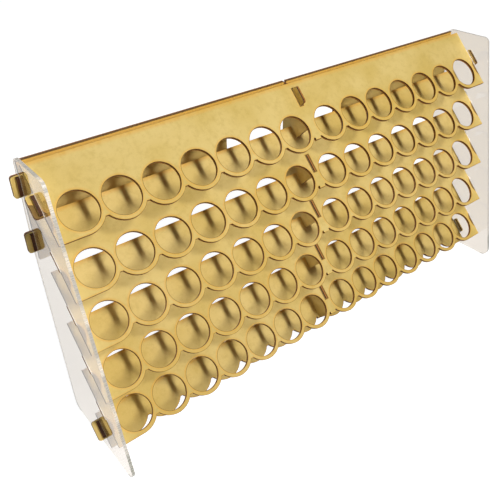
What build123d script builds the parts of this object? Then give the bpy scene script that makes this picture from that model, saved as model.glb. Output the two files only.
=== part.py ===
from build123d import *

import os
from math import cos, radians, sin

# Sheets and the fit of one sheet in another
WOOD = 3.0
ACRYLIC = 3.0
JOINT_GAP = 0.1

# Pot holes: two equal groups side by side on every tier
HOLE_D = 34.5
HOLE_PITCH = 38.65
HOLES_PER_GROUP = 7
GROUP_GAP = 7.3
END_MARGIN = 5.0

# Tiers, counted from the lowest: its row of hole centres, and the step to the next row
TIERS = 5
TILT = 45.0
FIRST_ROW_Y = 36.5
FIRST_ROW_Z = 44.0
STEP_BACK = 10.1
STEP_UP = 50.56

# Tier outline, measured along the slope from the hole centres
TIER_TOP = 57.8
TOP_TIER_TOP = 49.7
SCALLOP_R = 21.4
NOTCH = 11.9
MIDDLE_NOTCH = 14.5

# Tabs and ears in the side panels, measured along the slope
TAB_LENGTH = 18.6
TIER_TAB = 16.8
TOP_TIER_EAR = 14.3
STOP_EAR = 0.7
EAR_LENGTH = 20.0
EAR_REACH = 7.0
EAR_R = 2.6

# Keys that lock the ears outside the panels
KEY_LENGTH = 17.4
KEY_DEPTH = 7.0
KEY_R = 0.8

# Middle rib
FINGER = 1.0
RIB_FOOT = 14.5
RIB_TAB = 13.6
TOP_RIB_EAR = 33.5
RIB_HEEL = 26.0

# Rear brace
BRACE_GAP = 5.9
BRACE_HEIGHT = 95.0
BRACE_UPPER_EAR = 22.0
BRACE_LOWER_EAR = 19.4
WINDOW_WIDTH = 152.0
WINDOW_RAIL = 21.5
WINDOW_R = 5.0
BRACE_SLOT = 13.0
BRACE_TAB = 12.0

# Side panel outline
PANEL_ABOVE = 2.5
PANEL_TOP_DEPTH = 56.5
PANEL_FOOT_DEPTH = 119.1
PANEL_BEHIND = 2.0
BEND_BEHIND = 7.4
BEND_DROP = 91.0
PANEL_TOP_R = 7.0
PANEL_FOOT_R = 10.0

SLOPE = radians(TILT)
HALF_WIDTH = GROUP_GAP / 2 + HOLES_PER_GROUP * HOLE_PITCH + END_MARGIN
ROW_RISE = STEP_BACK * cos(SLOPE) + STEP_UP * sin(SLOPE)
STOP_OUT = STEP_BACK * sin(SLOPE) - STEP_UP * cos(SLOPE)
KEY_X = HALF_WIDTH + ACRYLIC + JOINT_GAP + WOOD / 2


def spot(tier, up, out):
    """Y and Z of a point that lies up a tier's slope from its hole centres and out from its face."""
    y = FIRST_ROW_Y + (tier - 1) * STEP_BACK + up * cos(SLOPE) - out * sin(SLOPE)
    z = FIRST_ROW_Z + (tier - 1) * STEP_UP + up * sin(SLOPE) + out * cos(SLOPE)
    return y, z


BRACE_Y = spot(TIERS, TOP_TIER_TOP, -WOOD)[0] + BRACE_GAP
BRACE_TOP = spot(TIERS, TOP_TIER_TOP, 0)[1]
BRACE_BOTTOM = BRACE_TOP - BRACE_HEIGHT
BRACE_EARS = (BRACE_TOP - BRACE_UPPER_EAR, BRACE_BOTTOM + BRACE_LOWER_EAR)
RAIL_MIDDLE = BRACE_BOTTOM + WINDOW_RAIL / 2


def box(x0, x1, y0, y1):
    """Rectangle between two corners."""
    return Pos((x0 + x1) / 2, (y0 + y1) / 2) * Rectangle(x1 - x0, y1 - y0)


def sloping_sheet(face, tier, out=0):
    """Sheet whose front face lies parallel to a tier: X along the rack, Y up the slope."""
    normal = (0, -sin(SLOPE), cos(SLOPE))
    plane = Plane(origin=(0, *spot(tier, 0, out)), x_dir=(1, 0, 0), z_dir=normal)
    return extrude(plane * face, -WOOD)


def hole_centres():
    right = [GROUP_GAP / 2 + HOLE_PITCH * (i + 0.5) for i in range(HOLES_PER_GROUP)]
    return [-x for x in reversed(right)] + right


def scalloped(top):
    """Outline of a sloping sheet: a straight top, and a scallop under each pot."""
    last_hole = hole_centres()[-1]
    face = box(-HALF_WIDTH, HALF_WIDTH, -NOTCH, top)
    face += box(-GROUP_GAP / 2, GROUP_GAP / 2, -MIDDLE_NOTCH, top)
    face += box(-HALF_WIDTH, -last_hole, -SCALLOP_R, top)
    face += box(last_hole, HALF_WIDTH, -SCALLOP_R, top)
    for x in hole_centres():
        face += Pos(x, 0) * Circle(SCALLOP_R)
    return face & box(-HALF_WIDTH, HALF_WIDTH, -SCALLOP_R, top)


def tabs(centre):
    """Pair of tabs that end flush with the outside of the panels."""
    return Pos(0, centre) * Rectangle(2 * (HALF_WIDTH + ACRYLIC), TAB_LENGTH)


def ears(centre):
    """Pair of tabs with rounded corners that stand out of the panels, each with a slot for its key."""
    width = 2 * (HALF_WIDTH + ACRYLIC + EAR_REACH)
    face = Pos(0, centre) * RectangleRounded(width, EAR_LENGTH, EAR_R)
    for x in (-KEY_X, KEY_X):
        face -= Pos(x, centre) * Rectangle(WOOD + 2 * JOINT_GAP, KEY_LENGTH + 2 * JOINT_GAP)
    return face


def rib_mortise(centre, length):
    """Closed slot for a tab of the rib."""
    return Pos(0, centre) * Rectangle(WOOD + 2 * JOINT_GAP, length + 2 * JOINT_GAP)


def rib_slot(bottom, top):
    """Slot for the rib that is open at the top."""
    half = WOOD / 2 + JOINT_GAP
    return box(-half, half, bottom - JOINT_GAP, top)


def tier_plate(tier):
    """One tier: a row of pot holes over a scalloped lower edge."""
    if tier == TIERS:
        face = scalloped(TOP_TIER_TOP) + ears(TOP_TIER_EAR)
        face -= rib_mortise(TOP_RIB_EAR, TAB_LENGTH)
    else:
        face = scalloped(TIER_TOP) + tabs(TIER_TAB)
        face -= rib_mortise(RIB_TAB, TAB_LENGTH)
        face -= rib_slot(FINGER + ROW_RISE, TIER_TOP)
    for x in hole_centres():
        face -= Pos(x, 0) * Circle(HOLE_D / 2)
    return sloping_sheet(face, tier)


def stop_plate():
    """Sheet without holes behind the lowest tier, for its pots to stand against."""
    top = TIER_TOP - ROW_RISE
    face = scalloped(top) + ears(-STOP_EAR) - rib_slot(FINGER, top)
    return sloping_sheet(face, 1, STOP_OUT)


def rib_stairs():
    """Front edge of the rib from the top down: along each sheet's back, then back under it."""
    points = [spot(TIERS, TOP_TIER_TOP, -WOOD)]
    for tier in range(TIERS, 1, -1):
        points += [spot(tier, FINGER, -WOOD), spot(tier - 1, FINGER + ROW_RISE, -WOOD)]
    return points


def rib_foot():
    """Lower end of the rib, which straddles the stop plate."""
    front = STOP_OUT + JOINT_GAP
    back = STOP_OUT - WOOD - JOINT_GAP
    ends = [(-RIB_FOOT, -WOOD), (-RIB_FOOT, front), (FINGER, front), (FINGER, back), (-RIB_FOOT, back)]
    points = [spot(1, up, out) for up, out in ends]
    y, z = points[-1]
    return points + [(y + RIB_HEEL, z)]


def rib_tab(tier, centre):
    """Tab that ends flush with the front of a tier."""
    return Pos(*spot(tier, centre, -WOOD / 2)) * Rot(0, 0, TILT) * Rectangle(TAB_LENGTH, WOOD)


def rib_ear(tier, centre):
    """Tab with rounded corners that stands out of the front of a tier."""
    root = WOOD + 2 * EAR_R
    ear = RectangleRounded(TAB_LENGTH, root + EAR_REACH, EAR_R)
    return Pos(*spot(tier, centre, (EAR_REACH - root) / 2)) * Rot(0, 0, TILT) * ear


def brace_tab(low, high):
    """Tab of the rib in the brace."""
    return box(BRACE_Y, BRACE_Y + WOOD, low, high)


def centre_rib():
    """Upright rib behind all tiers, with a stepped front edge and a tab into each sheet."""
    stairs = rib_stairs()
    back = [(BRACE_Y, BRACE_BOTTOM), (BRACE_Y, stairs[0][1])]
    face = make_face(Polyline(*stairs, *rib_foot(), *back, close=True))
    for tier in range(1, TIERS):
        face += rib_tab(tier, RIB_TAB)
    face += rib_ear(TIERS, TOP_RIB_EAR)
    face += brace_tab(BRACE_TOP - BRACE_SLOT, stairs[0][1])
    face += brace_tab(RAIL_MIDDLE - BRACE_TAB / 2, RAIL_MIDDLE + BRACE_TAB / 2)
    return extrude(Plane.YZ * face, WOOD / 2, both=True)


def rear_brace():
    """Upright sheet across the back of the top tiers, with a window and four ears."""
    face = box(-HALF_WIDTH, HALF_WIDTH, BRACE_BOTTOM, BRACE_TOP)
    for height in BRACE_EARS:
        face += ears(height)
    window = RectangleRounded(WINDOW_WIDTH, BRACE_HEIGHT - 2 * WINDOW_RAIL, WINDOW_R)
    face -= Pos(0, (BRACE_BOTTOM + BRACE_TOP) / 2) * window
    face -= rib_mortise(RAIL_MIDDLE, BRACE_TAB)
    face -= rib_slot(BRACE_TOP - BRACE_SLOT, BRACE_TOP)
    plane = Plane(origin=(0, BRACE_Y, 0), x_dir=(1, 0, 0), z_dir=(0, -1, 0))
    return extrude(plane * face, -WOOD)


def ear_places():
    """Middle and slope of every ear, seen from the side."""
    upper, lower = [(BRACE_Y + WOOD / 2, height) for height in BRACE_EARS]
    return {
        "top": (spot(TIERS, TOP_TIER_EAR, -WOOD / 2), TILT),
        "stop": (spot(1, -STOP_EAR, STOP_OUT - WOOD / 2), TILT),
        "brace_upper": (upper, 90),
        "brace_lower": (lower, 90),
    }


def panel_slot(length, centre, angle):
    """Slot in a side panel for a tab or an ear."""
    slot = Rectangle(length + 2 * JOINT_GAP, WOOD + 2 * JOINT_GAP)
    return Pos(*centre) * Rot(0, 0, angle) * slot


def panel_slots():
    """Slots for the tiers, the stop plate and the brace."""
    slots = [panel_slot(TAB_LENGTH, spot(tier, TIER_TAB, -WOOD / 2), TILT) for tier in range(1, TIERS)]
    return slots + [panel_slot(EAR_LENGTH, *place) for place in ear_places().values()]


def panel_outline():
    """Leaning outline that stands on its straight lower edge."""
    behind = BRACE_Y + WOOD
    top = BRACE_TOP + PANEL_ABOVE
    rear = behind + PANEL_BEHIND
    bend = (behind + BEND_BEHIND, top - BEND_DROP)
    corners = [(0, 0), (PANEL_FOOT_DEPTH, 0), bend, (rear, top), (rear - PANEL_TOP_DEPTH, top)]
    face = make_face(Polyline(*corners, close=True))
    face = fillet(face.vertices().group_by(Axis.Y)[0], PANEL_FOOT_R)
    return fillet(face.vertices().group_by(Axis.Y)[-1], PANEL_TOP_R)


def side_panel(inner_x):
    """Clear side panel whose left face lies at the given X."""
    face = panel_outline() - panel_slots()
    return extrude(Plane.YZ.offset(inner_x) * face, ACRYLIC)


def key(centre, angle, x):
    """Key through the slot of one ear, against the outside of the panel."""
    face = Pos(*centre) * Rot(0, 0, angle) * RectangleRounded(KEY_LENGTH, KEY_DEPTH, KEY_R)
    return extrude(Plane.YZ.offset(x) * face, WOOD / 2, both=True)


def build_pieces():
    pieces = {f"tier_plate_{tier}": tier_plate(tier) for tier in range(1, TIERS + 1)}
    pieces["stop_plate"] = stop_plate()
    pieces["rear_brace"] = rear_brace()
    pieces["centre_rib"] = centre_rib()
    pieces["side_panel_left"] = side_panel(-HALF_WIDTH - ACRYLIC)
    pieces["side_panel_right"] = side_panel(HALF_WIDTH)
    for name, place in ear_places().items():
        pieces[f"key_{name}_left"] = key(*place, -KEY_X)
        pieces[f"key_{name}_right"] = key(*place, KEY_X)
    return pieces


def write(pieces):
    """Write each piece to its own file, with the origin under the middle of the rack."""
    os.makedirs("parts", exist_ok=True)
    foot = pieces["side_panel_left"].bounding_box()
    to_origin = Pos(0, -(foot.min.Y + foot.max.Y) / 2, 0)
    for name, piece in pieces.items():
        export_step(to_origin * piece, os.path.join("parts", f"{name}.step"))


write(build_pieces())
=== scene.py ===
import math

import bpy
from mathutils import Euler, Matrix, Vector


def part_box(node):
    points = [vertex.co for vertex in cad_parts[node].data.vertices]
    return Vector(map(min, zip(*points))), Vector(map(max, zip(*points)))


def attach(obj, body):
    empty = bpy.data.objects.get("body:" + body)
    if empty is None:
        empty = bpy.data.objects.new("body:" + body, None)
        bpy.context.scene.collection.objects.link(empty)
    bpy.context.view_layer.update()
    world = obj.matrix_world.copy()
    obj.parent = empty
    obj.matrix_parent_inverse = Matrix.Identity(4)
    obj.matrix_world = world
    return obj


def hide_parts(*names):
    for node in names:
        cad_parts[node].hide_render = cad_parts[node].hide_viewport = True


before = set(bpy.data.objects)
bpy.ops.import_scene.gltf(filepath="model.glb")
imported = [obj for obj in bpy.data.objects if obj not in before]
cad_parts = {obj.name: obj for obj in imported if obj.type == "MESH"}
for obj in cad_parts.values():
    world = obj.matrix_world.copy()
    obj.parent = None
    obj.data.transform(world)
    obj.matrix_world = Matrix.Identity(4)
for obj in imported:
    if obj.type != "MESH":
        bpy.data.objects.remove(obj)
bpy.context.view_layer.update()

MM = 0.001

# Directions: up a sloping sheet and out of its front face, and the frame's own
TILT = math.radians(45)
UP_SLOPE = Vector((0, math.cos(TILT), math.sin(TILT)))
OUT_OF_FACE = Vector((0, -math.sin(TILT), math.cos(TILT)))
ACROSS = Vector((1, 0, 0))
BACKWARDS = Vector((0, 1, 0))
UPWARDS = Vector((0, 0, 1))

# Rows of pot holes, the lowest first, with a scallop under each hole
TIERS = 5
ROW_ONE = Vector((0, -30.07, 44.0)) * MM
ROW_STEP = Vector((0, 10.1, 50.56)) * MM
ROW_RISE = ROW_STEP.dot(UP_SLOPE)
ROW_OUT = ROW_STEP.dot(OUT_OF_FACE)
HOLES_PER_GROUP = 7
HOLE_R = 17.25 * MM
PITCH = 38.65 * MM
GROUP_GAP = 7.3 * MM
LAST_HOLE = PITCH * (HOLES_PER_GROUP - 0.5)      # its middle, from the group's inner end
SCALLOP_R = 21.4 * MM
NOTCH = 11.9 * MM
MIDDLE_NOTCH = 14.5 * MM

# Sheets, with heights measured up the slope from the row of holes
THICK = 3.0 * MM
HALF_WIDTH = 279.2 * MM
TIER_TOP = 57.8 * MM
TOP_TIER_TOP = 49.7 * MM
RIB_SLOT_UP = 13.6 * MM
TOP_RIB_SLOT_UP = 33.5 * MM
TAB_UP = 16.8 * MM
TOP_EAR_UP = 14.3 * MM
STOP_EAR_UP = -0.7 * MM

# Tabs, ears, keys and slots
FIT = 0.1 * MM
FINGER = 1.0 * MM
TAB_LENGTH = 18.6 * MM
EAR_LENGTH = 20.0 * MM
EAR_REACH = 10.0 * MM
EAR_CORNER = 2.6 * MM
KEY_LENGTH = 17.4 * MM
KEY_DEPTH = 7.0 * MM
KEY_CORNER = 0.8 * MM
KEY_X = HALF_WIDTH + THICK + FIT + THICK / 2
SLOT_HALF = THICK / 2 + FIT

# Fineness of the meshes
EDGE_POINTS = 1200
HOLE_SIDES = 80
EAR_CORNER_POINTS = 8
KEY_CORNER_POINTS = 6
OUTLINE_WELD = 0.01 * MM
SHEET_WELD = 0.005 * MM


# ---- node helpers

def add(tree, kind, **values):
    """A node with its plain properties set."""
    node = tree.nodes.new(kind)
    for name, value in values.items():
        setattr(node, name, value)
    return node


def plug(tree, value, socket):
    """Link a socket or set a plain value."""
    if value is None:
        return
    if isinstance(value, bpy.types.NodeSocket):
        tree.links.new(value, socket)
    else:
        socket.default_value = value


def math_node(tree, operation, a, b=None):
    node = add(tree, "ShaderNodeMath", operation=operation)
    plug(tree, a, node.inputs[0])
    plug(tree, b, node.inputs[1])
    return node.outputs[0]


def plus(tree, a, b):
    return math_node(tree, "ADD", a, b)


def minus(tree, a, b):
    return math_node(tree, "SUBTRACT", a, b)


def times(tree, a, b):
    return math_node(tree, "MULTIPLY", a, b)


def larger(tree, a, b):
    return math_node(tree, "MAXIMUM", a, b)


def unsigned(tree, a):
    return math_node(tree, "ABSOLUTE", a)


def join_xyz(tree, x=0.0, y=0.0, z=0.0):
    node = add(tree, "ShaderNodeCombineXYZ")
    for socket, value in zip(node.inputs, (x, y, z)):
        plug(tree, value, socket)
    return node.outputs[0]


def x_of(tree, vector):
    node = add(tree, "ShaderNodeSeparateXYZ")
    plug(tree, vector, node.inputs[0])
    return node.outputs["X"]


# ---- node trees for the sheets and keys that follow a rule

def start_tree(name, sizes, counts=()):
    """Geometry tree with a named input for each size and count, and the material last."""
    tree = bpy.data.node_groups.new(name, "GeometryNodeTree")
    tree.is_modifier = True
    tree.interface.new_socket(name="Geometry", in_out="OUTPUT", socket_type="NodeSocketGeometry")
    kinds = [(size, "NodeSocketFloat") for size in sizes]
    kinds += [(count, "NodeSocketInt") for count in counts]
    kinds.append(("Finish", "NodeSocketMaterial"))
    for label, kind in kinds:
        tree.interface.new_socket(name=label, in_out="INPUT", socket_type=kind)
    entry = add(tree, "NodeGroupInput")
    return tree, {socket.name: socket for socket in entry.outputs if socket.name}


def moved(tree, geometry, translation=None, rotation=None):
    node = add(tree, "GeometryNodeTransform")
    plug(tree, geometry, node.inputs["Geometry"])
    plug(tree, translation, node.inputs["Translation"])
    plug(tree, rotation, node.inputs["Rotation"])
    return node.outputs[0]


def rectangle(tree, width, height, middle=None):
    """Closed curve round a rectangle."""
    node = add(tree, "GeometryNodeCurvePrimitiveQuadrilateral", mode="RECTANGLE")
    plug(tree, width, node.inputs["Width"])
    plug(tree, height, node.inputs["Height"])
    return moved(tree, node.outputs[0], middle)


def rounded(tree, curve, radius, points):
    """The curve with its corners rounded off."""
    node = add(tree, "GeometryNodeFilletCurve", mode="POLY")
    node.inputs["Count"].default_value = points
    plug(tree, curve, node.inputs["Curve"])
    plug(tree, radius, node.inputs["Radius"])
    return node.outputs[0]


def welded(tree, geometry, distance):
    node = add(tree, "GeometryNodeMergeByDistance")
    node.inputs["Distance"].default_value = distance
    plug(tree, geometry, node.inputs["Geometry"])
    return node.outputs[0]


def made_real(tree, geometry):
    node = add(tree, "GeometryNodeRealizeInstances")
    plug(tree, geometry, node.inputs[0])
    return node.outputs[0]


def joined(tree, *geometries):
    node = add(tree, "GeometryNodeJoinGeometry")
    for geometry in geometries:
        tree.links.new(geometry, node.inputs[0])
    return node.outputs[0]


def either(tree, test, no, yes, kind="FLOAT"):
    node = add(tree, "GeometryNodeSwitch", input_type=kind)
    plug(tree, test, node.inputs["Switch"])
    plug(tree, no, node.inputs["False"])
    plug(tree, yes, node.inputs["True"])
    return node.outputs[0]


def above_zero(tree, value):
    node = add(tree, "FunctionNodeCompare", data_type="FLOAT", operation="GREATER_THAN")
    plug(tree, value, node.inputs[0])
    return node.outputs[0]


def only_with(tree, size, geometry):
    """The geometry where the size is above zero, and nothing otherwise."""
    return either(tree, above_zero(tree, size), None, geometry, "GEOMETRY")


def below_edge(tree, size):
    """Height of the scalloped lower edge at each point's X, below zero."""
    place = add(tree, "GeometryNodeInputPosition").outputs[0]
    side = unsigned(tree, x_of(tree, place))
    past_gap = minus(tree, side, times(tree, size["Group Gap"], 0.5))
    cell = minus(tree, math_node(tree, "FLOORED_MODULO", past_gap, size["Pitch"]),
                 times(tree, size["Pitch"], 0.5))
    radius = size["Scallop Radius"]
    rest = minus(tree, times(tree, radius, radius), times(tree, cell, cell))
    arc = math_node(tree, "SQRT", larger(tree, rest, 0.0))
    depth = larger(tree, arc, size["Notch"])
    last = times(tree, size["Pitch"], minus(tree, size["Holes Per Group"], 0.5))
    depth = either(tree, above_zero(tree, minus(tree, past_gap, last)), depth, radius)
    depth = either(tree, above_zero(tree, past_gap), size["Middle Notch"], depth)
    return times(tree, depth, -1.0)


def sheet_outline(tree, size):
    """Closed curve: scalloped edge from left to right, then ears, top and middle slot back."""
    half = size["Half Width"]
    far = plus(tree, half, size["Ear Reach"])
    half_ear = times(tree, size["Ear Length"], 0.5)
    low = minus(tree, size["Ear Centre"], half_ear)
    high = plus(tree, size["Ear Centre"], half_ear)
    slot, slot_floor, top = size["Slot Half Width"], size["Slot Bottom"], size["Top"]
    right = [(half, low), (far, low), (far, high), (half, high), (half, top),
             (slot, top), (slot, slot_floor)]
    left = [(times(tree, x, -1.0), y) for x, y in reversed(right)]
    corners = add(tree, "GeometryNodeIndexSwitch", data_type="VECTOR")
    while len(corners.index_switch_items) < len(right + left):
        corners.index_switch_items.new()
    index = add(tree, "GeometryNodeInputIndex").outputs[0]
    plug(tree, minus(tree, index, float(EDGE_POINTS)), corners.inputs["Index"])
    for number, (x, y) in enumerate(right + left):
        plug(tree, join_xyz(tree, x, y), corners.inputs[str(number)])

    # The ring's first points are spread from left to right, and then everything gets its height
    ring = add(tree, "GeometryNodeMeshCircle")
    ring.inputs["Vertices"].default_value = EDGE_POINTS + len(right + left)
    share = math_node(tree, "DIVIDE", index, float(EDGE_POINTS - 1))
    spread_x = times(tree, half, minus(tree, times(tree, share, 2.0), 1.0))
    spread = add(tree, "GeometryNodeSetPosition")
    tree.links.new(ring.outputs["Mesh"], spread.inputs["Geometry"])
    plug(tree, join_xyz(tree, spread_x), spread.inputs["Position"])
    own_x = x_of(tree, add(tree, "GeometryNodeInputPosition").outputs[0])
    lower = join_xyz(tree, own_x, below_edge(tree, size))
    on_edge = above_zero(tree, minus(tree, EDGE_POINTS - 0.5, index))
    place = add(tree, "GeometryNodeSetPosition")
    tree.links.new(spread.outputs[0], place.inputs["Geometry"])
    plug(tree, either(tree, on_edge, corners.outputs[0], lower, "VECTOR"), place.inputs["Position"])
    loop = add(tree, "GeometryNodeMeshToCurve")
    tree.links.new(welded(tree, place.outputs[0], OUTLINE_WELD), loop.inputs["Mesh"])

    # Only the ears' outer corners are rounded
    ear_middle = plus(tree, half, times(tree, size["Ear Reach"], 0.5))
    outer = above_zero(tree, minus(tree, unsigned(tree, own_x), ear_middle))
    corner = either(tree, outer, 0.0, size["Ear Radius"])
    return rounded(tree, loop.outputs[0], corner, EAR_CORNER_POINTS)


def hole_rings(tree, size):
    """A circle for every pot, in two groups with a gap between them."""
    index = add(tree, "GeometryNodeInputIndex").outputs[0]
    step = plus(tree, minus(tree, index, size["Holes Per Group"]), 0.5)
    aside = times(tree, math_node(tree, "SIGN", step), times(tree, size["Group Gap"], 0.5))
    points = add(tree, "GeometryNodePoints")
    plug(tree, times(tree, size["Holes Per Group"], 2.0), points.inputs["Count"])
    plug(tree, join_xyz(tree, plus(tree, aside, times(tree, step, size["Pitch"]))),
         points.inputs["Position"])
    circle = add(tree, "GeometryNodeCurvePrimitiveCircle", mode="RADIUS")
    circle.inputs["Resolution"].default_value = HOLE_SIDES
    plug(tree, size["Hole Radius"], circle.inputs["Radius"])
    rings = add(tree, "GeometryNodeInstanceOnPoints")
    tree.links.new(points.outputs[0], rings.inputs["Points"])
    tree.links.new(circle.outputs[0], rings.inputs["Instance"])
    return only_with(tree, size["Hole Radius"], made_real(tree, rings.outputs[0]))


def cut_sheet(tree, curves, thickness):
    """Solid sheet inside closed curves, with its front face at zero."""
    fill = add(tree, "GeometryNodeFillCurve", mode="TRIANGLES")
    tree.links.new(curves, fill.inputs["Curve"])
    turned = add(tree, "GeometryNodeFlipFaces")
    tree.links.new(fill.outputs[0], turned.inputs["Mesh"])
    deep = add(tree, "GeometryNodeExtrudeMesh", mode="FACES")
    deep.inputs["Individual"].default_value = False
    tree.links.new(turned.outputs[0], deep.inputs["Mesh"])
    plug(tree, join_xyz(tree, z=-1.0), deep.inputs["Offset"])
    plug(tree, thickness, deep.inputs["Offset Scale"])
    return welded(tree, joined(tree, fill.outputs[0], deep.outputs["Mesh"]), SHEET_WELD)


def end_tree(tree, geometry, finish):
    paint_it = add(tree, "GeometryNodeSetMaterial")
    tree.links.new(made_real(tree, geometry), paint_it.inputs["Geometry"])
    tree.links.new(finish, paint_it.inputs["Material"])
    out = add(tree, "NodeGroupOutput")
    tree.links.new(paint_it.outputs[0], out.inputs[0])


def scalloped_sheet_tree():
    """Sloping sheet: two groups of holes over their scallops, ears, slots for rib and keys."""
    tree, size = start_tree("scalloped_sheet", [
        "Half Width", "Thickness", "Top", "Notch", "Middle Notch", "Scallop Radius", "Hole Radius",
        "Pitch", "Group Gap", "Ear Centre", "Ear Length", "Ear Reach", "Ear Radius",
        "Slot Half Width", "Slot Bottom", "Mortise Centre", "Mortise Length", "Key Centre",
        "Key Slot Length", "Back", "Up", "Tilt"], ["Holes Per Group"])
    width = times(tree, size["Slot Half Width"], 2.0)
    mortise = rectangle(tree, width, size["Mortise Length"],
                        join_xyz(tree, y=size["Mortise Centre"]))
    parts = [sheet_outline(tree, size), hole_rings(tree, size),
             only_with(tree, size["Mortise Length"], mortise)]
    for side in (-1.0, 1.0):
        middle = join_xyz(tree, times(tree, size["Key Centre"], side), size["Ear Centre"])
        slot = rectangle(tree, width, size["Key Slot Length"], middle)
        parts.append(only_with(tree, size["Key Slot Length"], slot))
    solid = cut_sheet(tree, joined(tree, *parts), size["Thickness"])
    placed = moved(tree, solid, join_xyz(tree, 0.0, size["Back"], size["Up"]),
                   join_xyz(tree, size["Tilt"]))
    end_tree(tree, placed, size["Finish"])
    return tree


def key_tree():
    """Small flat key that stands across an ear, with rounded corners."""
    tree, size = start_tree("ear_key", ["Length", "Depth", "Corner Radius", "Thickness",
                                        "Aside", "Back", "Up", "Slope"])
    outline = rounded(tree, rectangle(tree, size["Length"], size["Depth"]),
                      size["Corner Radius"], KEY_CORNER_POINTS)
    solid = cut_sheet(tree, outline, size["Thickness"])
    centred = moved(tree, solid, join_xyz(tree, z=times(tree, size["Thickness"], 0.5)))
    sloped = moved(tree, centred, rotation=join_xyz(tree, z=size["Slope"]))
    upright = moved(tree, sloped, join_xyz(tree, size["Aside"], size["Back"], size["Up"]),
                    join_xyz(tree, math.pi / 2, 0.0, math.pi / 2))
    end_tree(tree, upright, size["Finish"])
    return tree


def make(name, tree, finish, **sizes):
    """Run a tree for one piece and keep the result as a plain mesh."""
    piece = bpy.data.objects.new(name + "_maker", bpy.data.meshes.new(name + "_maker"))
    bpy.context.scene.collection.objects.link(piece)
    modifier = piece.modifiers.new("maker", "NODES")
    modifier.node_group = tree
    named = {key.replace("_", " ").title(): value for key, value in sizes.items()}
    named["Finish"] = finish
    for socket in tree.interface.items_tree:
        if socket.in_out == "INPUT" and socket.name in named:
            modifier[socket.identifier] = named.pop(socket.name)
    assert not named, named
    piece.update_tag()
    graph = bpy.context.evaluated_depsgraph_get()
    graph.update()
    mesh = bpy.data.meshes.new_from_object(
        piece.evaluated_get(graph), preserve_all_data_layers=True, depsgraph=graph)
    bpy.data.objects.remove(piece)
    mesh.name = name
    solid = bpy.data.objects.new(name, mesh)
    bpy.context.scene.collection.objects.link(solid)
    return solid


# ---- finishes

def rgb(r, g, b):
    """Colour from screen values to linear."""
    line = [((v / 255 + 0.055) / 1.055) ** 2.4 if v > 10.3 else v / 255 / 12.92 for v in (r, g, b)]
    return (*line, 1.0)


FACE_LIGHT = rgb(226, 199, 124)
FACE_DEEP = rgb(212, 182, 98)
FACE_MOTTLE = rgb(190, 158, 72)
FACE_FIBRE = rgb(232, 210, 144)
FACE_FLECK = rgb(160, 122, 58)
SCORCH = rgb(228, 172, 66)
SMOKE = rgb(138, 66, 14)
CHAR = rgb(56, 29, 9)
CHAR_WARM = rgb(84, 46, 14)
CUT_LIGHT = rgb(188, 132, 60)
CUT_DEEP = rgb(146, 88, 32)
ACRYLIC_FACE = rgb(220, 213, 204)
ACRYLIC_EDGE = rgb(244, 238, 226)
ACRYLIC_SHADOW = rgb(243, 241, 240)
# Painted highlight of the polished cut edges of the acrylic: pale opaque tones, greyer and darker
# at the foot
PAINTED_EDGE_PALE = rgb(242, 236, 228)
PAINTED_EDGE_DEEP = rgb(224, 214, 196)
PAINTED_EDGE_FOOT = rgb(120, 122, 104)

# Noises: scale, detail and roughness, the last one for coordinates that are scaled already
CLOUD = (11.0, 3.0, 0.6)
MOTTLE = (150.0, 4.0, 0.7)
KEY_MOTTLE = (300.0, 4.0, 0.7)
FIBRE = (1300.0, 3.0, 0.7)
HAZE = (60.0, 3.0, 0.6)
RUNNING = (1.0, 2.0, 0.6)
# Scale along each direction of marks that run one way
FLECK_RUN = ((260, 0, 0), (0, 1500, 0), (0, 0, 1500))
STREAK_RUN = ((1500, 0, 0), tuple(700 * UP_SLOPE), tuple(60 * OUT_OF_FACE))
SAW_RUN = ((120, 0, 0), (0, 900, 0), (0, 0, 900))
# Most of a noise's values lie between these
BULK = (0.3, 0.7)

# Layers over a colour: the value at which they start, at which they are full, and how full
CLOUD_LAYER = (0.35, 0.65, 1.0)
MOTTLE_LAYER = (0.42, 0.75, 0.36)
FIBRE_LAYER = (0.5, 0.8, 0.35)
FLECK_LAYER = (0.66, 0.8, 0.3)
STREAK_LAYER = (*BULK, 1.0)
KEY_FACE_LAYER = (*BULK, 1.0)
KEY_CHAR_LAYER = (0.3, 0.75, 1.0)
SAWN_LAYER = (*BULK, 1.0)

# Laser marks: the distance from the cut at which they start to show, and at which they are full
RIM_SCORCH = (3.2 * MM, 0.2 * MM)
RIM_CHAR = (0.55 * MM, 0.15 * MM)
EDGE_SCORCH = (2.2 * MM, 0.0)
EDGE_CHAR = (0.5 * MM, 0.1 * MM)
SLOT_SCORCH = (3.0 * MM, 0.5 * MM)
SLOT_CHAR = (1.5 * MM, 0.8 * MM)
TOP_SCORCH_REACH = 5 * MM
SMOKE_REACH = 14 * MM
SMOKE_LEAST = 0.35
CHAR_SHARE = 0.75
BRACE_SCORCH = (7 * MM, 2 * MM, 0.75)
BRACE_CHAR = (1.3 * MM, 0.6 * MM, 0.8)
# How much the mottle breaks up scorch and smoke
UNEVEN_SCORCH = (0.2, 0.7, 0.35, 0.7)
UNEVEN_SMOKE = (0.2, 0.7, 0.8, 1.0)
# Char on the cut walls, over the sheet's depth from its front face: all of it, then at the back
FRONT_CHAR = (0.6, 0.35)
BACK_CHAR = (0.88, 1.0, 0.0, 0.5)

# Where a normal's share along the sheet's facing direction says cut wall, or rear face
WALL_LIMITS = (0.8, 0.3)
REAR_LIMITS = (-0.3, -0.8)

BOARD_ROUGH = (0.6, 0.76)
KEY_ROUGH = (0.55, 0.8)
BOARD_SHINE = 0.3
BOARD_RELIEF = 0.15
KEY_RELIEF = 0.2
FLECK_RELIEF = 0.5
RELIEF_DEPTH = 0.3 * MM

ACRYLIC_IOR = 1.49
HAZE_ROUGH = (0.3, 0.8, 0.0, 0.03)
SAWN_ROUGH = (*BULK, 0.2, 0.34)
# Opaque shader that paints the highlight on the cut edges, and how much of the edges it covers
PAINTED_EDGE_ROUGH = 0.35
PAINTED_EDGE_SHARE = 0.7
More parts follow.
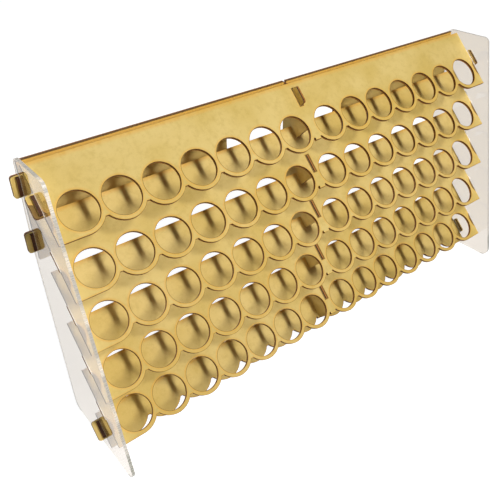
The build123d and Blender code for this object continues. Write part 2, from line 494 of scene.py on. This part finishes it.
# The painted edge highlight's greyer, darker foot: the height at which it starts, at which it is
# full, and how full
FOOT_LAYER = (40 * MM, 25 * MM, 0.9)


def dot(tree, a, b):
    node = add(tree, "ShaderNodeVectorMath", operation="DOT_PRODUCT")
    plug(tree, a, node.inputs[0])
    plug(tree, b, node.inputs[1])
    return node.outputs["Value"]


def smooth(tree, value, low, high, to_low=0.0, to_high=1.0):
    """Smooth step of a value between two limits."""
    node = add(tree, "ShaderNodeMapRange", interpolation_type="SMOOTHSTEP")
    for socket, v in zip(node.inputs, (value, low, high, to_low, to_high)):
        plug(tree, v, socket)
    return node.outputs[0]


def blend_colour(tree, share, a, b):
    node = add(tree, "ShaderNodeMix", data_type="RGBA", blend_type="MIX")
    plug(tree, share, node.inputs[0])
    plug(tree, a, node.inputs[6])
    plug(tree, b, node.inputs[7])
    return node.outputs[2]


def overlay(tree, under, value, start, full, share, tone):
    """A tone over a colour, where a value passes from start to full."""
    return blend_colour(tree, smooth(tree, value, start, full, 0.0, share), under, tone)


def noise(tree, where, scale, detail, roughness):
    node = add(tree, "ShaderNodeTexNoise")
    plug(tree, where, node.inputs["Vector"])
    node.inputs["Scale"].default_value = scale
    node.inputs["Detail"].default_value = detail
    node.inputs["Roughness"].default_value = roughness
    return node.outputs["Fac"]


def running_noise(tree, place, run):
    """Noise for marks that run one way."""
    return noise(tree, join_xyz(tree, *[dot(tree, place, Vector(axis)) for axis in run]), *RUNNING)


def new_material(name):
    material = bpy.data.materials.new(name)
    material.use_nodes = True
    tree = material.node_tree
    tree.nodes.clear()
    out = tree.nodes.new("ShaderNodeOutputMaterial")
    return material, tree, out


def own_place(tree):
    """The piece's own coordinates and normal."""
    coords = add(tree, "ShaderNodeTexCoord")
    return coords.outputs["Object"], coords.outputs["Normal"]


def wall_share(tree, normal, facing):
    """One on the cut walls of a sheet that faces this way, zero on its two faces."""
    return smooth(tree, unsigned(tree, dot(tree, normal, facing)), *WALL_LIMITS)


def row_scorch(tree, place, row):
    """Scorch beside a tier's rims and edges, char on them, and the rear's smoke, each 0 to 1."""
    side = unsigned(tree, x_of(tree, place))
    along = minus(tree, side, GROUP_GAP / 2)
    cell = math_node(tree, "FLOORED_MODULO", larger(tree, along, 0.0), PITCH)
    x = plus(tree, minus(tree, cell, PITCH / 2), math_node(tree, "MINIMUM", along, 0.0))
    up = minus(tree, dot(tree, place, UP_SLOPE), row["up"])
    radius = math_node(tree, "SQRT", plus(tree, times(tree, x, x), times(tree, up, up)))

    # Distance from the lower edge, which is a scallop or, outside it, a straight line
    at_end = times(tree, math_node(tree, "GREATER_THAN", along, LAST_HOLE), SCALLOP_R - NOTCH)
    in_gap = times(tree, math_node(tree, "LESS_THAN", along, 0.0), MIDDLE_NOTCH - NOTCH)
    straight = plus(tree, plus(tree, up, NOTCH), plus(tree, at_end, in_gap))
    inside = larger(tree, minus(tree, SCALLOP_R, radius), straight)
    top_scorch = smooth(tree, up, row["top"] - TOP_SCORCH_REACH, row["top"])
    scorch = larger(tree, smooth(tree, inside, *EDGE_SCORCH), top_scorch)
    burnt = smooth(tree, inside, *EDGE_CHAR)

    if row["holes"]:
        off_rim = minus(tree, radius, HOLE_R)
        along_slot = unsigned(tree, minus(tree, up, row["mortise"]))
        off_slot = larger(tree, minus(tree, side, SLOT_HALF),
                          minus(tree, along_slot, TAB_LENGTH / 2 + FIT))
        for off, off_scorch, off_char in ((off_rim, RIM_SCORCH, RIM_CHAR),
                                          (off_slot, SLOT_SCORCH, SLOT_CHAR)):
            scorch = larger(tree, scorch, smooth(tree, off, *off_scorch))
            burnt = larger(tree, burnt, smooth(tree, off, *off_char))
    smoke = smooth(tree, radius, HOLE_R + SMOKE_REACH, HOLE_R, SMOKE_LEAST, 1.0)
    return scorch, burnt, smoke


def board_surface(tree, out, colour, fibre, rough, height, relief):
    """Matt surface of the board with a fine relief."""
    shader = add(tree, "ShaderNodeBsdfPrincipled")
    tree.links.new(colour, shader.inputs["Base Color"])
    tree.links.new(smooth(tree, fibre, *BULK, *rough), shader.inputs["Roughness"])
    shader.inputs["Specular IOR Level"].default_value = BOARD_SHINE
    bump = add(tree, "ShaderNodeBump")
    bump.inputs["Strength"].default_value = relief
    bump.inputs["Distance"].default_value = RELIEF_DEPTH
    tree.links.new(height, bump.inputs["Height"])
    tree.links.new(bump.outputs[0], shader.inputs["Normal"])
    tree.links.new(shader.outputs[0], out.inputs["Surface"])


def fibreboard(name, facing, front, row=None, top_edge=None):
    """Fibreboard with felted, mottled faces, and walls that the laser has browned, darkest at the
    front rim. Its front face lies at front along facing. A tier's row tells where its holes lie,
    its top edge and its slot, up the slope. An upright sheet's top_edge is the height of the edge
    that is scorched."""
    material, tree, out = new_material(name)
    place, normal = own_place(tree)
    cloud = noise(tree, place, *CLOUD)
    mottle = noise(tree, place, *MOTTLE)
    fibre = noise(tree, place, *FIBRE)
    flecks = running_noise(tree, place, FLECK_RUN)
    face = overlay(tree, FACE_LIGHT, cloud, *CLOUD_LAYER, FACE_DEEP)
    face = overlay(tree, face, mottle, *MOTTLE_LAYER, FACE_MOTTLE)
    face = overlay(tree, face, fibre, *FIBRE_LAYER, FACE_FIBRE)
    face = overlay(tree, face, flecks, *FLECK_LAYER, FACE_FLECK)
    if row is not None:
        scorch, burnt, smoke = row_scorch(tree, place, row)
        scorch = times(tree, scorch, smooth(tree, mottle, *UNEVEN_SCORCH))
        face = blend_colour(tree, scorch, face, SCORCH)
        face = blend_colour(tree, times(tree, burnt, CHAR_SHARE), face, CHAR)
        rear = smooth(tree, dot(tree, normal, facing), *REAR_LIMITS)
        smoke = times(tree, smoke, smooth(tree, mottle, *UNEVEN_SMOKE))
        face = blend_colour(tree, times(tree, rear, smoke), face, SMOKE)
    if top_edge is not None:
        height = dot(tree, place, UPWARDS)
        for (start, full, share), tone in ((BRACE_SCORCH, SCORCH), (BRACE_CHAR, CHAR)):
            face = overlay(tree, face, height, top_edge - start, top_edge - full, share, tone)

    depth = math_node(tree, "DIVIDE", minus(tree, front, dot(tree, place, facing)), THICK)
    cut = overlay(tree, CUT_LIGHT, running_noise(tree, place, STREAK_RUN), *STREAK_LAYER, CUT_DEEP)
    char = larger(tree, smooth(tree, depth, *FRONT_CHAR), smooth(tree, depth, *BACK_CHAR))
    cut = blend_colour(tree, char, cut, CHAR)
    colour = blend_colour(tree, wall_share(tree, normal, facing), face, cut)
    height = plus(tree, fibre, times(tree, flecks, FLECK_RELIEF))
    board_surface(tree, out, colour, fibre, BOARD_ROUGH, height, BOARD_RELIEF)
    return material


def cut_edge_board(name, facing):
    """Key of the same board, whose narrow sides the laser has burnt dark all over."""
    material, tree, out = new_material(name)
    place, normal = own_place(tree)
    mottle = noise(tree, place, *KEY_MOTTLE)
    fibre = noise(tree, place, *FIBRE)
    face = overlay(tree, FACE_LIGHT, mottle, *KEY_FACE_LAYER, FACE_MOTTLE)
    cut = overlay(tree, CHAR, mottle, *KEY_CHAR_LAYER, CHAR_WARM)
    colour = blend_colour(tree, wall_share(tree, normal, facing), face, cut)
    board_surface(tree, out, colour, fibre, KEY_ROUGH, fibre, KEY_RELIEF)
    return material


def mixed(tree, share, a, b):
    """Two shaders mixed."""
    node = add(tree, "ShaderNodeMixShader")
    for socket, source in zip(node.inputs, (share, a.outputs[0], b.outputs[0])):
        plug(tree, source, socket)
    return node


def acrylic(name):
    """Clear cast sheet with polished faces. Its cut edges carry a painted highlight, a pale,
    slightly rough opaque colour with streaks, greyer at the foot, and its shadow is light."""
    material, tree, out = new_material(name)
    place, normal = own_place(tree)
    wall = wall_share(tree, normal, ACROSS)
    haze = noise(tree, place, *HAZE)
    saw = running_noise(tree, place, SAW_RUN)

    glass = add(tree, "ShaderNodeBsdfPrincipled")
    tree.links.new(blend_colour(tree, wall, ACRYLIC_FACE, ACRYLIC_EDGE), glass.inputs["Base Color"])
    rough = plus(tree, smooth(tree, haze, *HAZE_ROUGH),
                 times(tree, wall, smooth(tree, saw, *SAWN_ROUGH)))
    tree.links.new(rough, glass.inputs["Roughness"])
    glass.inputs["Transmission Weight"].default_value = 1.0
    glass.inputs["IOR"].default_value = ACRYLIC_IOR

    # Painted highlight: a pale opaque shader over most of each cut edge, greyer toward the foot
    painted_edge_shader = add(tree, "ShaderNodeBsdfPrincipled")
    edge = overlay(tree, PAINTED_EDGE_PALE, saw, *SAWN_LAYER, PAINTED_EDGE_DEEP)
    edge = overlay(tree, edge, dot(tree, place, UPWARDS), *FOOT_LAYER, PAINTED_EDGE_FOOT)
    tree.links.new(edge, painted_edge_shader.inputs["Base Color"])
    painted_edge_shader.inputs["Roughness"].default_value = PAINTED_EDGE_ROUGH

    clear = add(tree, "ShaderNodeBsdfTransparent")
    clear.inputs["Color"].default_value = ACRYLIC_SHADOW
    path = add(tree, "ShaderNodeLightPath")
    glass_with_painted_edge = mixed(tree, times(tree, wall, PAINTED_EDGE_SHARE), glass, painted_edge_shader)
    sheet = mixed(tree, path.outputs["Is Shadow Ray"], glass_with_painted_edge, clear)
    tree.links.new(sheet.outputs[0], out.inputs["Surface"])
    return material


# ---- the rack's pieces

def paint(node, material):
    """Give a CAD node's every slot this material."""
    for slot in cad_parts[node].material_slots:
        slot.link = "DATA"
        slot.material = material


def front_of(node, facing):
    """How far out a sheet's front face lies along its facing direction."""
    return max(vertex.co.dot(facing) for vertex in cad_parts[node].data.vertices)


def stand_for(piece, node):
    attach(piece, "root")
    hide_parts(node)


def sloping_sheets():
    """Five tiers and the stop plate, all from one tree."""
    tree = scalloped_sheet_tree()
    common = dict(half_width=HALF_WIDTH, thickness=THICK, notch=NOTCH, middle_notch=MIDDLE_NOTCH,
                  scallop_radius=SCALLOP_R, pitch=PITCH, group_gap=GROUP_GAP,
                  holes_per_group=HOLES_PER_GROUP, slot_half_width=SLOT_HALF, key_centre=KEY_X,
                  tilt=TILT)
    flush = dict(ear_length=TAB_LENGTH, ear_reach=THICK, ear_radius=0.0, key_slot_length=0.0)
    standing = dict(ear_length=EAR_LENGTH, ear_reach=EAR_REACH, ear_radius=EAR_CORNER,
                    key_slot_length=KEY_LENGTH + 2 * FIT)
    for tier in range(1, TIERS + 1):
        node = f"tier_plate_{tier}"
        centre = ROW_ONE + (tier - 1) * ROW_STEP
        if tier < TIERS:
            own = dict(top=TIER_TOP, slot_bottom=FINGER + ROW_RISE - FIT,
                       mortise_centre=RIB_SLOT_UP, ear_centre=TAB_UP, **flush)
        else:
            own = dict(top=TOP_TIER_TOP, slot_bottom=TOP_TIER_TOP,
                       mortise_centre=TOP_RIB_SLOT_UP, ear_centre=TOP_EAR_UP, **standing)
        row = dict(up=centre.dot(UP_SLOPE), top=own["top"], mortise=own["mortise_centre"],
                   holes=True)
        board = fibreboard(f"fibreboard_tier_{tier}", OUT_OF_FACE,
                           front_of(node, OUT_OF_FACE), row)
        piece = make(f"pot_tier_{tier}", tree, board, hole_radius=HOLE_R,
                     mortise_length=TAB_LENGTH + 2 * FIT, back=centre.y, up=centre.z,
                     **own, **common)
        stand_for(piece, node)

    # The stop plate lies one row further back than the lowest tier, and has no holes
    centre = ROW_ONE - ROW_OUT * OUT_OF_FACE
    top = TIER_TOP - ROW_RISE
    row = dict(up=ROW_ONE.dot(UP_SLOPE), top=top, holes=False)
    board = fibreboard("fibreboard_stop", OUT_OF_FACE, front_of("stop_plate", OUT_OF_FACE), row)
    piece = make("pot_stop", tree, board, hole_radius=0.0, mortise_length=0.0, mortise_centre=0.0,
                 top=top, slot_bottom=FINGER - FIT, ear_centre=STOP_EAR_UP,
                 back=centre.y, up=centre.z, **standing, **common)
    stand_for(piece, "stop_plate")


def ear_keys():
    """A key outside each panel for every ear."""
    tree = key_tree()
    board = cut_edge_board("burnt_fibreboard_keys", ACROSS)
    slopes = {"top": TILT, "stop": TILT, "brace_upper": math.pi / 2, "brace_lower": math.pi / 2}
    for ear, slope in slopes.items():
        for side in ("left", "right"):
            node = f"key_{ear}_{side}"
            low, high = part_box(node)
            aside, back, up = [(a + b) / 2 for a, b in zip(low, high)]
            piece = make(f"ear_{node}", tree, board, length=KEY_LENGTH, depth=KEY_DEPTH,
                         corner_radius=KEY_CORNER, thickness=THICK, aside=aside, back=back,
                         up=up, slope=slope)
            stand_for(piece, node)


sloping_sheets()
ear_keys()
paint("rear_brace", fibreboard("fibreboard_brace", -BACKWARDS, front_of("rear_brace", -BACKWARDS),
                               top_edge=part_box("rear_brace")[1][2]))
paint("centre_rib", fibreboard("fibreboard_rib", -ACROSS, front_of("centre_rib", -ACROSS)))
for side in ("left", "right"):
    paint(f"side_panel_{side}", acrylic(f"clear_acrylic_{side}"))


# ---- floor, light and camera

WHITE = (1, 1, 1, 1)
FLOOR_REACH = 6.0
FLOOR_COLOUR = (0.3, 0.28, 0.24, 1.0)
FLOOR_SEEN = (0.35, 0.35, 0.35, 1.0)
# The glow that a look at the floor meets, from near the rack to far from it
FLOOR_GLOW = (0.4, 1.1, 0.92, 1.0)
SKY_STRENGTH = 0.02
# Place, the point it is aimed at, width, height and power of each softbox
SOFTBOXES = {
    "key_softbox": ((0.0, -0.96, 0.9), (0.0, 0.0, 0.14), 0.13, 0.8, 14.0),
    "fill_softbox": ((-0.75, -0.3, 0.4), (-0.2, 0.0, 0.15), 0.25, 0.25, 0.45),
    "rear_softbox": ((-0.5, 1.3, 0.6), (0.0, 0.0, 0.15), 0.9, 0.9, 7.5),
}
# The photo's camera, from the fit to its hole rims
SENSOR_WIDTH = 36.0
FOCAL_LENGTH = 43.763
CLIP_NEAR, CLIP_FAR = 0.01, 50.0
CAMERA_PLACE = (-0.40777, -0.39705, 0.49374)
CAMERA_TURN = (55.1888, 0.5239, -38.9778)


def seen_directly(tree):
    """One for camera, mirror and refracted rays."""
    path = add(tree, "ShaderNodeLightPath")
    seen = larger(tree, path.outputs["Is Camera Ray"], path.outputs["Is Glossy Ray"])
    return larger(tree, seen, path.outputs["Is Transmission Ray"])


def floor():
    """White floor that glows a little where it is looked at, and keeps the rack's shadow."""
    mesh = bpy.data.meshes.new("studio_floor")
    reach = FLOOR_REACH
    corners = [(-reach, -reach, 0), (reach, -reach, 0), (reach, reach, 0), (-reach, reach, 0)]
    mesh.from_pydata(corners, [], [(0, 1, 2, 3)])
    piece = bpy.data.objects.new("studio_floor", mesh)
    bpy.context.scene.collection.objects.link(piece)
    material, tree, out = new_material("studio_floor")
    seen = seen_directly(tree)
    glow = add(tree, "ShaderNodeEmission")
    glow.inputs["Color"].default_value = WHITE
    away = add(tree, "ShaderNodeVectorMath", operation="LENGTH")
    tree.links.new(own_place(tree)[0], away.inputs[0])
    strength = times(tree, seen, smooth(tree, away.outputs["Value"], *FLOOR_GLOW))
    tree.links.new(strength, glow.inputs["Strength"])
    matt = add(tree, "ShaderNodeBsdfDiffuse")
    tree.links.new(blend_colour(tree, seen, FLOOR_COLOUR, FLOOR_SEEN), matt.inputs["Color"])
    both = add(tree, "ShaderNodeAddShader")
    tree.links.new(glow.outputs[0], both.inputs[0])
    tree.links.new(matt.outputs[0], both.inputs[1])
    tree.links.new(both.outputs[0], out.inputs["Surface"])
    mesh.materials.append(material)


def softbox(name, place, aim, wide, tall, power):
    lamp = bpy.data.lights.new(name, "AREA")
    lamp.shape = "RECTANGLE"
    lamp.size, lamp.size_y = wide, tall
    lamp.energy = power
    piece = bpy.data.objects.new(name, lamp)
    piece.location = place
    piece.rotation_euler = (Vector(aim) - Vector(place)).to_track_quat("-Z", "Y").to_euler()
    bpy.context.scene.collection.objects.link(piece)


def sky():
    """White sky that lights little, and is plain white where it is looked at."""
    world = bpy.data.worlds.new("studio_sky")
    world.use_nodes = True
    tree = world.node_tree
    tree.nodes.clear()
    out = add(tree, "ShaderNodeOutputWorld")
    soft, white = add(tree, "ShaderNodeBackground"), add(tree, "ShaderNodeBackground")
    soft.inputs["Color"].default_value = white.inputs["Color"].default_value = WHITE
    soft.inputs["Strength"].default_value = SKY_STRENGTH
    mix = mixed(tree, seen_directly(tree), soft, white)
    tree.links.new(mix.outputs[0], out.inputs["Surface"])
    bpy.context.scene.world = world


def camera():
    lens = bpy.data.cameras.new("camera")
    lens.sensor_width = SENSOR_WIDTH
    lens.lens = FOCAL_LENGTH
    lens.clip_start, lens.clip_end = CLIP_NEAR, CLIP_FAR
    piece = bpy.data.objects.new("camera", lens)
    piece.location = CAMERA_PLACE
    piece.rotation_euler = Euler([math.radians(a) for a in CAMERA_TURN])
    bpy.context.scene.collection.objects.link(piece)
    bpy.context.scene.camera = piece


floor()
sky()
for name, values in SOFTBOXES.items():
    softbox(name, *values)
camera()
bpy.context.scene.view_settings.view_transform = "Standard"
